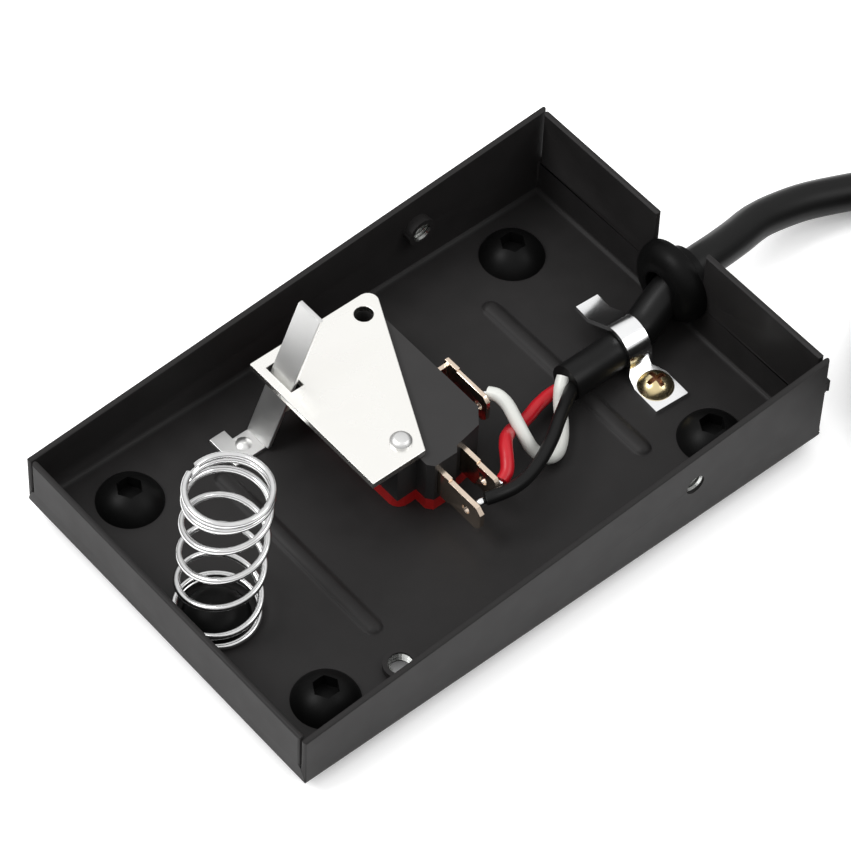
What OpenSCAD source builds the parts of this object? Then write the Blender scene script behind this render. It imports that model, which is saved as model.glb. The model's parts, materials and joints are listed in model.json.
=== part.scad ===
// Industrial foot switch with its pedal cover off: a folded sheet-metal tray
// with a snap-action switch, its leaf actuator, a return spring and a lead.
// +X runs to the end where the lead leaves, +Z is up, and the origin is the
// middle of the plane that the rubber feet stand on.

/* [Tray] */
// Length of the tray, along X
tray_l = 100; // [96:1:130]
// Width of the tray, along Y
tray_w = 65; // [64:1:90]
// Thickness of the tray's sheet
sheet_t = 1; // [0.8:0.1:1.4]
// Wall height at the spring end
low_wall_h = 11.2; // [9:0.1:16]
// Wall height at the lead's end
high_wall_h = 19.1; // [17:0.1:24]
// Outer radius of the bends between floor and walls
bend_r = 1.8; // [1.5:0.1:3]
// Width of the open seam at each corner
seam_w = 0.3; // [0.2:0.05:0.5]
// Part of the wall's height that the open seam takes
seam_share = 0.6; // [0.3:0.05:0.8]
// Height of the pressed beads in the floor
bead_h = 0.8; // [0.4:0.1:1.2]
// Width of the pressed beads
bead_w = 3; // [2:0.1:5]
// Length of the pressed beads
bead_l = 38; // [20:1:42]
// X of the bead beside the spring
bead_x1 = -25; // [-27:0.5:-24]
// X of the bead beside the lead
bead_x2 = 27.5; // [26:0.5:29]

/* [Pivot holes for the pedal] */
// Radius of the thread in each long wall
pivot_r = 1.7; // [1.3:0.05:2.2]
// Radius of the drawn collar round the thread
collar_r = 2.5; // [2.5:0.05:3]
// How far the collar stands in from the wall
collar_h = 1.6; // [1:0.1:2.5]
// X of the pivot holes
pivot_x = 23.8; // [18:0.1:32]
// Height of the pivot holes over the tray's underside
pivot_z = 10.3; // [8:0.1:11]
// Radius of the thread in the floor
earth_r = 1.9; // [1.6:0.05:2.1]
// Radius of the drawn collar round that thread
earth_collar_r = 2.7; // [2.6:0.05:3]
// X of the threaded hole in the floor
earth_x = -26.5; // [-31:0.1:-26]
// Y of the threaded hole in the floor
earth_y = -25.5; // [-26.5:0.1:-24.5]

/* [Rubber feet] */
// Height of the pads under the tray
pad_h = 2; // [1.5:0.1:4]
// Radius of the pads under the tray
pad_r = 6; // [5.5:0.1:7]
// Radius of the domes inside the tray
dome_r = 5.25; // [4.8:0.05:6]
// Height of the domes inside the tray
dome_h = 3.6; // [2.5:0.1:4.5]
// Radius of the hole that a foot is pushed through
foot_hole_r = 3; // [2.5:0.1:4]
// Width across the corners of the six-sided recess
recess_w = 4.2; // [3:0.1:5]
// Distance of the feet from the tray's low end
foot_in = 11.6; // [8:0.1:14]
// Distance of the feet from the tray's high end
lead_foot_in = 13; // [10:0.1:14]
// Distance of the feet from the middle, along Y
foot_y = 23; // [21:0.1:25]
// How far the lead end's feet are set off towards +Y
lead_foot_off = 0.6; // [-1:0.1:1]

/* [Return spring] */
// Outer diameter of the spring
spring_d = 13.6; // [13.2:0.1:14]
// Diameter of its wire
wire_d = 1.05; // [0.8:0.05:1.2]
// Free height of the spring
spring_h = 28.4; // [24:0.1:36]
// Turns between the closed ends
spring_turns = 4.5; // [3:0.5:6]
// How far the free end of the spring leans towards the lead's end
spring_lean = 2.6; // [0:0.1:4]
// Distance of the spring's middle from the tray's low end
spring_in = 8.7; // [8.7:0.1:11]
// Y of the spring's foot
spring_y = -1.3; // [-4:0.1:4]
// Radius of the seat that the spring stands round
seat_r = 5.2; // [3:0.1:5.4]
// Height of the seat
seat_h = 3.2; // [2:0.1:5]

/* [Snap-action switch] */
// Width of the switch, from plunger side to terminal side
case_w = 16.6; // [16:0.1:17]
// Length of the switch
case_l = 27.8; // [27.5:0.1:30]
// Thickness of the switch's black case
case_t = 8.2; // [7.6:0.1:9]
// Thickness of the red cover under it
cover_t = 2.4; // [1.8:0.1:3]
// X of the plunger side
case_x = -8.8; // [-9:0.1:-7]
// Y of the terminal end
case_y = -3.4; // [-5:0.1:-2]
// Depth of the moulded shoulder that guards the terminals
shoulder_d = 2.2; // [1.5:0.1:3]
// Wall of the case
case_wall = 1.5; // [1.2:0.1:1.8]
// Radius of the plunger
plunger_r = 1.2; // [0.9:0.05:1.3]
// How far the plunger's guide stands out of the case
guide_out = 1.6; // [1:0.1:2]
// Radius of the mounting holes
mount_hole_r = 1.5; // [1.3:0.05:1.6]
// Distance of the mounting holes from the switch's ends
mount_inset = 2.8; // [2.7:0.05:2.9]
// Distance between the mounting holes across the switch
mount_pitch_x = 11.2; // [10.3:0.1:11.4]

/* [Cover plate] */
// Thickness of the nickel plate on the switch
plate_t = 1.2; // [0.8:0.1:1.5]
// Radius of the plate's round corner beside its open hole
plate_corner_r = 1.7; // [1:0.1:2.5]
// How far the plate stands out past the switch's plunger side
plate_over = 5.4; // [5.2:0.1:5.8]
// How far the plate stands out past the switch's terminal side
plate_back = 1.2; // [0.5:0.1:1.6]
// How far the plate stands out past the switch's far end
plate_rim = 0.4; // [0.2:0.1:0.8]
// Width of the slot round the leaf
slot_w = 2.3; // [2.2:0.1:2.6]
// Radius of the rivet's head
rivet_head_r = 1.7; // [1.4:0.05:2.2]

/* [Leaf actuator] */
// Thickness of the leaf
leaf_t = 0.7; // [0.5:0.05:0.8]
// Width of the leaf
leaf_w = 5; // [4:0.1:5.4]
// Distance of the leaf's middle from the switch's far end
leaf_in = 4.7; // [4.4:0.1:5]
// Lean of the leaf from upright, in degrees
leaf_lean = 23.8; // [22:0.1:25]
// Height of the leaf's top over the tray's underside
leaf_top = 24.2; // [20:0.1:28]

/* [Lead and its holders] */
// Diameter of the lead
lead_d = 6; // [5:0.1:6.4]
// Diameter of a core's insulation
core_d = 2.1; // [1.6:0.1:2.3]
// Width of the notch that holds the grommet
notch_w = 10.8; // [10:0.1:12]
// Y of the notch's middle
notch_y = -0.5; // [-2:0.1:1]
// Height of the grommet's axis over the tray's underside
grommet_z = 8.9; // [8.9:0.1:10]
// Radius of the grommet's domed inner flange
flange_r = 7; // [6.2:0.1:7]
// Radius of the grommet's nose outside the wall
nose_r = 4.4; // [4:0.1:5]
// How far the grommet's nose stands out of the wall
nose_out = 1.6; // [1:0.1:3]
// Width of the clamp's strap
strap_w = 4.2; // [3.8:0.1:5.5]
// Thickness of the clamp's strap
strap_t = 0.8; // [0.6:0.05:1]
// Radius of the clamp screw's thread
screw_r = 1.5; // [1.3:0.05:1.7]
// Radius of the clamp screw's head
screw_head_r = 2.9; // [2.6:0.1:3.2]
// Height of the clamp screw's head
screw_head_h = 2; // [1.6:0.1:2.4]
// Middle diameter of the coil that the spare lead is put away in
coil_d = 60; // [60:0.5:62]

/* [Hidden] */
$fn = 48;
// A hair by which a cutting tool runs past the face that it cuts
eps = 0.01;
// Radial play of what is pushed or riveted into a hole
fit_gap = 0.05;
// Play of what slides or turns
run_gap = 0.1;
under_z = pad_h;
floor_z = under_z + sheet_t;
inner_bend_r = bend_r - sheet_t;
switch_z = floor_z;
case_z = switch_z + cover_t;
plate_z = case_z + case_t;
plate_top = plate_z + plate_t;
lead_r = lead_d / 2;
core_r = core_d / 2;
wall_slope = (high_wall_h - low_wall_h) / tray_l;
end_x = tray_l / 2;
side_y = tray_w / 2;
// Height of the walls' top edge at a place along the tray
function wall_top(x) = under_z + low_wall_h + (x + end_x) * wall_slope;

// Where a foot stands: sx is the end and sy the side
function foot_at(sx, sy) =
    sx < 0 ? [foot_in - end_x, sy * foot_y]
           : [end_x - lead_foot_in, sy * foot_y + lead_foot_off];

// The two mounting holes of the switch lie on its diagonal
rivet_at = [case_x + mount_inset, case_y + mount_inset];
open_hole_at = rivet_at + [mount_pitch_x, case_l - 2 * mount_inset];

// Places on the switch
case_end_x = case_x + case_w;
case_end_y = case_y + case_l;
mid_z = switch_z + (cover_t + case_t) / 2;
leaf_y = case_end_y - leaf_in;
plunger_at_y = leaf_y;

// The leaf: a foot on the floor and a blade that leans up through the plate
leaf_bend = [case_x - 7.9, floor_z + leaf_t / 2];
leaf_heel_x = leaf_bend[0] + leaf_t / 2;
leaf_foot_end = leaf_bend[0] - 5.8;
leaf_foot_step = leaf_bend[0] - 2.9;
leaf_rivet_at = [leaf_bend[0] - 2.2, leaf_y + 0.7];
leaf_start_z = floor_z + leaf_t + run_gap;
leaf_top_z = under_z + leaf_top;
// X of the leaf's middle at a height
function leaf_x(z) = leaf_bend[0] + (z - leaf_bend[1]) * tan(leaf_lean);

// The lead's centre line from its cut end over the clamp and through the
// grommet to the coil
lead_route = [
    [24.6, -3.2, 7], [28, -3.1, 6.8], [32.5, -2.8, 6.3], [37, -2.4, 6.2],
    [41, -1.8, 6.5], [45.5, -1, 8.7], [50, -0.5, 10.6], [54, -0.3, 10.8],
    [58, 0.2, 10], [63, 1.1, 8.8], [68.5, 2.2, 7.6], [74, 2.2, 6.4],
    [79.5, 1.4, 5.4], [87, -0.9, 4.2], [94, -3.6, 3.4], [101, -7.6, 3.1],
    [108, -12.6, 3.1], [113, -16.4, 3.1], [117.8, -20.1, 3.1]
];

bead_r = (bead_w * bead_w / 4 + bead_h * bead_h) / (2 * bead_h);
bead_sink = sheet_t + bead_h - bead_r;
recess_depth = 2.6;
stem_r = 2.5;
rivet_r = mount_hole_r - fit_gap;
rivet_foot_h = 0.8;
leaf_rivet_r = 0.9;

spring_x = spring_in - end_x;
wire_r = wire_d / 2;
spring_r = (spring_d - wire_d) / 2;
top_turn_start = 360 * spring_turns + 20;
// The open turns end just under the ring at the top
spring_pitch = (spring_h - 3 * wire_d - run_gap) / spring_turns;

earth_h = 1.2;
boss_r = mount_hole_r + 1.2;
corner_r = 2;
// The mechanism's space starts past the rivet's boss
space_y = rivet_at[1] + boss_r + 0.3;
blade_t = 0.8;
blade_h = 4.7;
shoulder_h = 5.5;
shoulder_l = 3.4;
blade_hole_r = 0.8;
blade_z = mid_z - shoulder_h / 2 + 1;
slot_play = 0.05;
open_x = case_x + 5;
closed_in = 10.4;
closed_x = case_x + closed_in;
open_tip = 10.6;
closed_tip = 8.2;
hole_to_tip = 3.2;
common_in = 11;
common_y = case_y + common_in;
common_h = shoulder_h + 0.9;
common_out = 3;
common_tip_y = case_y + 2;

// The moving blade stands between the open and the closed contact, and turns
// at the common arm's edge when the plunger pushes its far end
snap_t = 0.3;
contact_h = 0.4;
contact_r = 0.7;
contact_gap = 0.85;
touch_gap = 0.05;
snap_x = open_x + blade_t + contact_h + contact_gap + contact_h;
contact_y = space_y + 2.4;
arm_y = space_y + 0.9;
arm_h = 3.2;
rock_y = plunger_at_y - 4.2;
guide_r = plunger_r + 1.2;

// The plunger's tip stops just short of the leaf's face
plunger_tip_x = leaf_x(mid_z + plunger_r) + leaf_t / 2 + 0.15;
slot_end = 0.5;
slot_x = leaf_x(plate_z) - leaf_t / 2 - 0.2;

clamp_at = [36.7, -10.2];
clamp_turn = -3;
arch_r = lead_r + 0.25;
arch_y = 7.8;
arch_z = floor_z + lead_r + 0.3;
strap_near = -4;
wing_l = 6;
wing_lift = 1.3;
cross_l = 3.2;
cross_w = 0.8;
cross_depth = 1.2;

// The coil: three turns across and two layers, wound inwards and out again
coil_r = coil_d / 2;
coil_at = [95, -48];
coil_across = 3;
coil_layers = 2;
tail_r = coil_r + 2 * lead_d;
tail_from = 42;
tail_down = 10;
tail_to = -35;
coil_inner_r = coil_r - coil_across * lead_d / 2;
coil_outer_r = coil_r + coil_across * lead_d / 2;
end_l = 25;
tie_w = 3.5;
tie_t = 1;
tie_angle = -100;

// The cores' centre lines from their terminals to the lead's cut end
white_route = [
    [11.9, 0.4, 11.2], [12.6, -1, 11.4], [12.8, -3, 11], [12.4, -5.5, 10],
    [12.1, -7.9, 8.7], [12.4, -9.6, 7], [13.8, -10.9, 5.3], [16, -11, 4.5],
    [18.4, -9.4, 4.2], [20.4, -7.2, 4.4], [21.9, -4.9, 5.5], [23.2, -3.4, 7.1],
    [24.5, -2.5, 8]
];
red_route = [
    [3.4, -12.8, 10], [4.8, -12.2, 10.5], [6, -10.8, 11.1], [7.2, -9.1, 11.4],
    [8.7, -7.5, 10.7], [10.2, -6.3, 9.2], [12, -5, 7.4], [14, -4.5, 6.5],
    [16.4, -3.9, 6.1], [19, -3, 5.8], [22, -2.3, 5.3], [24.5, -2.7, 5.8]
];
black_route = [
    [-1.6, -14.8, 11.8], [0.2, -15.4, 11.9], [3, -15.7, 11.6],
    [6.2, -15.2, 11.1], [10, -13.8, 10.6], [14.2, -11.6, 10.2],
    [17.9, -9.1, 9.7], [21.1, -6.9, 8.6], [24.5, -4.5, 7.2]
];

function unit(v) = v / norm(v);

// A round tube swept along points, closed at both ends
module swept_tube(points, radius, sides) {
    last = len(points) - 1;
    rings = [
        for (i = [0:last])
            let (ahead = points[min(i + 1, last)], behind = points[max(i - 1, 0)])
            let (along = unit(ahead - behind))
            let (across = unit(cross(along, [0, 0, 1])))
            let (up = cross(across, along))
            for (k = [0:sides - 1])
                points[i] + radius * (cos(360 * k / sides) * across
                    + sin(360 * k / sides) * up)
    ];
    faces = concat(
        [[for (k = [0:sides - 1]) k]],
        [
            for (i = [0:last - 1])
                for (k = [0:sides - 1])
                    let (next = (k + 1) % sides)
                    [
                        i * sides + k, (i + 1) * sides + k,
                        (i + 1) * sides + next, i * sides + next
                    ]
        ],
        [[for (k = [sides - 1:-1:0]) last * sides + k]]
    );
    polyhedron(rings, faces);
}

// Extrudes a side view, drawn as X across and Z up, along Y about a middle
module along_y(middle, width) {
    translate([0, middle + width / 2, 0])
        rotate([90, 0, 0])
            linear_extrude(width)
                children();
}

// Extrudes an end view, drawn as Y across and Z up, along X about a middle
module along_x(middle, width) {
    translate([middle - width / 2, 0, 0])
        rotate([90, 0, 90])
            linear_extrude(width)
                children();
}

// A dome or button of a given radius and height, standing on z = 0
module cap(radius, height) {
    ball_r = (radius * radius + height * height) / (2 * height);
    rotate_extrude()
        intersection() {
            translate([0, height - ball_r])
                circle(ball_r, $fn = 96);
            square([radius, height]);
        }
}

// An upright hole or shank
module upright(at, radius, from_z, to_z) {
    translate([at[0], at[1], from_z])
        cylinder(h = to_z - from_z, r = radius);
}

// --- Tray ---

module round_bottom(width, height, radius) {
    translate([radius - width / 2, 0])
        square([width - 2 * radius, height]);
    translate([-width / 2, radius])
        square([width, height - radius]);
    for (side = [-1, 1])
        translate([side * (width / 2 - radius), radius])
            circle(radius);
}

// A block with both pairs of lower edges rounded, so that the corners mitre
module tray_block(length, width, radius, bottom) {
    tall = high_wall_h + 2;
    intersection() {
        translate([0, 0, bottom])
            along_x(0, length)
                round_bottom(width, tall, radius);
        translate([0, 0, bottom])
            along_y(0, width)
                round_bottom(length, tall, radius);
    }
}

// Everything over the sloping top edge of the walls
module over_walls() {
    far = end_x + 2;
    along_y(0, tray_w + 2)
        polygon([
            [-far, wall_top(-far)], [far, wall_top(far)],
            [far, wall_top(far) + high_wall_h], [-far, wall_top(far) + high_wall_h]
        ]);
}

// A pressed bead: its round top, or the groove under it
module bead(x, radius) {
    run = bead_l / 2 - bead_w / 2;
    translate([x, 0, under_z + bead_sink]) {
        rotate([90, 0, 0])
            cylinder(h = 2 * run, r = radius, center = true);
        for (side = [-1, 1])
            translate([0, side * run, 0])
                sphere(radius);
    }
}

// A tapped hole along Y through a long wall and its drawn collar
module pivot_shape(side, radius, from_out, to_in) {
    y_out = side * (side_y + from_out);
    y_in = side * (side_y - to_in);
    translate([pivot_x, y_out, under_z + pivot_z])
        rotate([side * 90, 0, 0])
            cylinder(h = abs(y_out - y_in), r = radius);
}

module notch() {
    translate([end_x - 2 * sheet_t, notch_y, under_z + grommet_z]) {
        rotate([0, 90, 0])
            cylinder(h = 3 * sheet_t, r = notch_w / 2);
        translate([0, -notch_w / 2, 0])
            cube([3 * sheet_t, notch_w, high_wall_h]);
    }
}

module corner_seams() {
    for (end = [-1, 1], side = [-1, 1]) {
        wall_h = end < 0 ? low_wall_h : high_wall_h;
        open_h = wall_h * seam_share;
        depth = 2 * sheet_t;
        translate([
            end * (end_x - sheet_t / 2) - depth / 2,
            side * (side_y - sheet_t - seam_w / 2) - seam_w / 2,
            under_z + wall_h - open_h
        ])
            cube([depth, seam_w, open_h + sheet_t]);
    }
}

module base_tray() {
    color([0.09, 0.09, 0.095])
        difference() {
            union() {
                difference() {
                    tray_block(tray_l, tray_w, bend_r, under_z);
                    tray_block(
                        tray_l - 2 * sheet_t, tray_w - 2 * sheet_t,
                        inner_bend_r, floor_z
                    );
                    over_walls();
                }
                for (x = [bead_x1, bead_x2])
                    intersection() {
                        bead(x, bead_r);
                        translate([x - bead_w, -bead_l / 2, floor_z - sheet_t / 2])
                            cube([2 * bead_w, bead_l, bead_w]);
                    }
                for (side = [-1, 1])
                    pivot_shape(side, collar_r, -sheet_t / 2, sheet_t + collar_h);
                upright([earth_x, earth_y], earth_collar_r, floor_z - sheet_t / 2,
                    floor_z + earth_h);
                corner_tab();
            }
            for (x = [bead_x1, bead_x2])
                bead(x, bead_r - sheet_t);
            for (side = [-1, 1])
                pivot_shape(side, pivot_r, eps, sheet_t + collar_h + eps);
            upright([earth_x, earth_y], earth_r, 0, floor_z + earth_h + eps);
            notch();
            corner_seams();
            for (sx = [-1, 1], sy = [-1, 1])
                upright(foot_at(sx, sy), foot_hole_r, 0, floor_z + eps);
            upright([spring_x, spring_y], stem_r + fit_gap, 0, floor_z + eps);
            upright(clamp_at, screw_r, 0, floor_z + eps);
            upright(rivet_at, rivet_r + fit_gap, 0, floor_z + eps);
            upright(leaf_rivet_at, leaf_rivet_r + fit_gap, 0, floor_z + eps);
        }
}

// The end wall's locating tab, which shows outside the front corner
module corner_tab() {
    tab_h = 2.4;
    translate([end_x - eps, -side_y, under_z + high_wall_h * 0.6])
        cube([0.6, sheet_t, tab_h]);
}

// --- Rubber feet and spring seat ---

module rubber_foot(sx, sy) {
    at = foot_at(sx, sy);
    color([0.03, 0.03, 0.03])
        translate([at[0], at[1], 0])
            difference() {
                union() {
                    cylinder(h = pad_h, r1 = pad_r - 0.4, r2 = pad_r);
                    cylinder(h = floor_z + eps, r = foot_hole_r - fit_gap);
                    translate([0, 0, floor_z])
                        cap(dome_r, dome_h);
                }
                translate([0, 0, floor_z + dome_h - recess_depth])
                    cylinder(h = recess_depth + 1, d = recess_w, $fn = 6);
            }
}

module foot_spring_back() { rubber_foot(-1, 1); }
module foot_spring_front() { rubber_foot(-1, -1); }
module foot_lead_back() { rubber_foot(1, 1); }
module foot_lead_front() { rubber_foot(1, -1); }

module spring_seat() {
    color([0.03, 0.03, 0.03]) {
        upright([spring_x, spring_y], stem_r, under_z, floor_z + eps);
        translate([spring_x, spring_y, floor_z])
            cap(seat_r, seat_h);
    }
}

// --- Return spring ---

// The closed turn on the floor, then the open turns up to the top ring
function coil_height(turn) =
    turn < 1
        ? floor_z + wire_r + turn * wire_d
        : floor_z + wire_r + wire_d + (turn - 1) * spring_pitch;

// X of a turn's middle, which leans with its height
function coil_middle(height) =
    spring_x + spring_lean * (height - floor_z) / (spring_h - wire_r);

module spring_coils() {
    steps = 20;
    color([0.8, 0.82, 0.85])
        swept_tube([
            for (i = [0:(spring_turns + 1) * steps])
                let (turn = i / steps, angle = 360 * turn)
                [
                    coil_middle(coil_height(turn)) + spring_r * cos(angle),
                    spring_y + spring_r * sin(angle),
                    coil_height(turn)
                ]
        ], wire_r, 8);
}

module spring_top() {
    color([0.8, 0.82, 0.85])
        translate([spring_x + spring_lean, spring_y, floor_z + spring_h - wire_r])
            rotate([0, 0, top_turn_start])
                rotate_extrude(angle = 345)
                    translate([spring_r, 0])
                        circle(wire_r, $fn = 24);
}

// --- Snap-action switch ---

// Plan of the case, with the moulded shoulder beside the terminals
module case_plan() {
    polygon([
        [case_x, case_y], [case_x, case_end_y], [case_end_x, case_end_y],
        [case_end_x, case_y + 1.4], [case_end_x - 2.2, case_y - 1.3],
        [case_x + 9.4, case_y - 2.2], [case_x + 8.6, case_y - shoulder_d - 1],
        [case_x + 4.4, case_y - shoulder_d - 1],
        [case_x + 3.6, case_y - shoulder_d], [case_x + 3.6, case_y]
    ]);
}

module mounting_holes(radius, from_z, to_z) {
    upright(rivet_at, radius, from_z, to_z);
    upright(open_hole_at, radius, from_z, to_z);
}

// The hollow for the snap mechanism, clear of the two mounting bosses
module mechanism_space() {
    difference() {
        translate([case_x + case_wall, space_y, case_z - eps])
            cube([
                case_w - 2 * case_wall, case_end_y - case_wall - space_y,
                case_t - case_wall
            ]);
        mounting_holes(boss_r, case_z - 1, plate_z);
    }
}

module switch_case() {
    color([0.05, 0.05, 0.055])
        difference() {
            union() {
                translate([0, 0, case_z])
                    linear_extrude(case_t)
                        case_plan();
                plunger_axis(case_x - guide_out)
                    cylinder(h = guide_out + eps, r = guide_r);
            }
            mechanism_space();
            mounting_holes(mount_hole_r, case_z - 1, plate_z + 1);
            plunger_axis(case_x - guide_out - eps)
                cylinder(h = guide_out + case_wall + 2 * eps, r = plunger_r + run_gap);
            terminal_slots();
        }
}

// Places its children on the plunger's axis, with their Z towards +X
module plunger_axis(from_x) {
    translate([from_x, plunger_at_y, mid_z])
        rotate([0, 90, 0])
            children();
}

module terminal_slots() {
    for (x = [closed_x, open_x])
        translate([x - slot_play, case_y - shoulder_d - 2, blade_z - slot_play / 2])
            cube([
                blade_t + 2 * slot_play, space_y - case_y + shoulder_d + 2.5,
                shoulder_h + slot_play
            ]);
    translate([
        case_end_x - case_wall - 1, common_y - slot_play, blade_z - slot_play / 2
    ])
        cube([case_wall + 2, blade_t + 2 * slot_play, shoulder_h + slot_play]);
}

module switch_cover() {
    color([0.75, 0.06, 0.05])
        difference() {
            translate([0, 0, switch_z])
                linear_extrude(cover_t)
                    cover_plan();
            mounting_holes(mount_hole_r, 0, case_z + 1);
        }
}

// The cover's outline is the case's, with its free corners rounded
module cover_plan() {
    difference() {
        case_plan();
        for (y = [case_y, case_end_y])
            translate([case_x, y])
                round_off(1, y == case_y ? 1 : -1);
        translate([case_end_x, case_end_y])
            round_off(-1, -1);
    }
}

// What a rounded corner takes away from a square one
module round_off(sx, sy) {
    mirror([sx < 0 ? 1 : 0, 0])
        mirror([0, sy < 0 ? 1 : 0])
            difference() {
                translate([-eps, -eps])
                    square(corner_r + eps);
                translate([corner_r, corner_r])
                    circle(corner_r);
            }
}

module switch_plunger() {
    inner_x = case_x + case_wall + run_gap;
    color([0.85, 0.85, 0.8]) {
        plunger_axis(plunger_tip_x)
            cylinder(h = snap_x - run_gap - plunger_tip_x, r = plunger_r);
        plunger_axis(inner_x)
            cylinder(h = 0.7, r = plunger_r + 0.6);
    }
}

// The moving blade, with a contact on both faces of its free end
module snap_blade() {
    color([0.8, 0.55, 0.3]) {
        translate([snap_x, contact_y - contact_r, mid_z - arm_h / 2])
            cube([snap_t, plunger_at_y + plunger_r - contact_y + contact_r, arm_h]);
        translate([snap_x - contact_h, contact_y, mid_z])
            rotate([0, 90, 0])
                cylinder(h = 2 * contact_h + snap_t, r = contact_r);
    }
}

// Side view of a terminal's blade: a broad shoulder, then a narrower tongue
// with a chamfered tip. Drawn as distance from the switch across and Z up
module blade_side(inner, shoulder, tip) {
    blade_top = blade_z + shoulder_h;
    step = (shoulder_h - blade_h) / 2;
    polygon([
        [-inner, blade_z], [shoulder, blade_z], [shoulder, blade_z + step],
        [tip - 1, blade_z + step], [tip, blade_z + step + 1],
        [tip, blade_top - step - 1], [tip - 1, blade_top - step],
        [shoulder, blade_top - step], [shoulder, blade_top], [-inner, blade_top]
    ]);
}

// A blade that leaves the terminal end along -Y, in a plane across X
module end_terminal(x, inner, tip) {
    root_y = case_y - shoulder_d;
    translate([x, root_y, 0])
        difference() {
            rotate([90, 0, -90])
                mirror([0, 0, 1])
                    linear_extrude(blade_t)
                        blade_side(inner, shoulder_l, tip);
            translate([-1, hole_to_tip - tip, blade_z + shoulder_h / 2])
                rotate([0, 90, 0])
                    cylinder(h = blade_t + 2, r = blade_hole_r);
        }
}

module fixed_contact(x_from, x_to) {
    translate([x_from, contact_y, mid_z])
        rotate([0, 90, 0])
            cylinder(h = x_to - x_from, r = contact_r);
}

// The open contact sits on the end terminal itself, on the plunger's side
module terminal_open() {
    inner_l = contact_y + contact_r - case_y + shoulder_d;
    color([0.72, 0.45, 0.2]) {
        end_terminal(open_x, arm_y - case_y + shoulder_d, open_tip);
        translate([open_x, arm_y - eps, mid_z - arm_h / 2])
            cube([blade_t, inner_l - arm_y + case_y - shoulder_d + eps, arm_h]);
        fixed_contact(open_x + blade_t - eps, open_x + blade_t + contact_h);
    }
}

// The closed contact is carried on an arm that reaches back to the blade
module terminal_closed() {
    button_x = snap_x + snap_t + contact_h + touch_gap;
    arm_x = button_x + contact_h;
    color([0.72, 0.45, 0.2]) {
        end_terminal(closed_x, arm_y - case_y + shoulder_d, closed_tip);
        translate([arm_x, arm_y - blade_t, mid_z - arm_h / 2])
            cube([closed_x + eps - arm_x, blade_t, arm_h]);
        translate([arm_x, arm_y - blade_t, mid_z - arm_h / 2])
            cube([blade_t, contact_y + contact_r - arm_y + blade_t, arm_h]);
        fixed_contact(button_x, arm_x + eps);
    }
}

// The common terminal: outside it turns along the case, and inside its arm
// reaches across to the edge that the blade turns at
module terminal_common() {
    outer_x = case_end_x + common_out;
    inner_x = case_end_x - case_wall - 0.3;
    tall_l = common_y - common_tip_y;
    common_top = blade_z + common_h;
    color([0.72, 0.45, 0.2])
        difference() {
            union() {
                translate([inner_x - blade_t, common_y, blade_z])
                    cube([outer_x - inner_x + blade_t, blade_t, shoulder_h]);
                translate([outer_x - blade_t, common_tip_y, 0])
                    rotate([90, 0, 90])
                        linear_extrude(blade_t)
                            polygon([
                                [0, blade_z + 1.3], [0.9, blade_z + 0.4],
                                [tall_l - 2, blade_z + 0.4], [tall_l - 2, blade_z],
                                [tall_l + blade_t, blade_z],
                                [tall_l + blade_t, common_top],
                                [tall_l - 2, common_top],
                                [tall_l - 2, common_top - 0.4],
                                [0.9, common_top - 0.4], [0, common_top - 1.3]
                            ]);
                translate([inner_x - blade_t, common_y, mid_z - arm_h / 2])
                    cube([blade_t, rock_y + blade_t / 2 - common_y, arm_h]);
                translate([snap_x + snap_t + touch_gap, rock_y - blade_t / 2, mid_z - arm_h / 2])
                    cube([inner_x - snap_x - snap_t - touch_gap, blade_t, arm_h]);
            }
            translate([
                outer_x - blade_t - 1, common_tip_y + hole_to_tip - 1.4,
                blade_z + common_h / 2
            ])
                rotate([0, 90, 0])
                    cylinder(h = blade_t + 2, r = blade_hole_r);
        }
}

// --- Cover plate and its rivet ---

// Where the straight slanted edge touches the round corner
function tangent_point(from, centre, radius) =
    let (gap = centre - from)
    let (reach = sqrt(gap * gap - radius * radius))
    let (turn = atan2(gap[1], gap[0]) - asin(radius / norm(gap)))
    from + reach * [cos(turn), sin(turn)];

module plate_plan() {
    x_left = case_x - plate_over;
    y_low = case_y - 0.7;
    corner = [case_x + 4.6, y_low];
    y_top = case_end_y + plate_rim;
    round_at = [case_end_x + plate_back, y_top] - [plate_corner_r, plate_corner_r];
    touch = tangent_point(corner, round_at, plate_corner_r);
    polygon([
        [x_left, y_low], corner, touch, round_at,
        [round_at[0], y_top], [x_left, y_top]
    ]);
    translate(round_at)
        circle(plate_corner_r);
}

module switch_plate() {
    color([0.86, 0.84, 0.8])
        translate([0, 0, plate_z])
            difference() {
                linear_extrude(plate_t)
                    plate_plan();
                for (at = [rivet_at, open_hole_at])
                    translate([at[0], at[1], -1])
                        cylinder(h = plate_t + 2, r = mount_hole_r);
                translate([slot_x, leaf_y - leaf_w / 2 - slot_end, -1])
                    cube([slot_w, leaf_w + 2 * slot_end, plate_t + 2]);
            }
}

module switch_rivet() {
    color([0.86, 0.85, 0.83]) {
        upright(rivet_at, rivet_r, under_z - rivet_foot_h, plate_top + eps);
        upright(rivet_at, rivet_head_r, under_z - rivet_foot_h, under_z);
        translate([rivet_at[0], rivet_at[1], plate_top])
            cap(rivet_head_r, 0.9);
    }
}

// --- Leaf actuator ---

// Side view of the leaf's blade over its foot
module leaf_side() {
    half = leaf_t / 2;
    low_x = leaf_x(leaf_start_z);
    top_x = leaf_x(leaf_top_z);
    polygon([
        [low_x - half, leaf_start_z], [top_x - half, leaf_top_z],
        [top_x + half, leaf_top_z], [low_x + half, leaf_start_z]
    ]);
}

module leaf_blade() {
    color([0.75, 0.75, 0.75])
        along_y(leaf_y, leaf_w)
            leaf_side();
}

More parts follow.
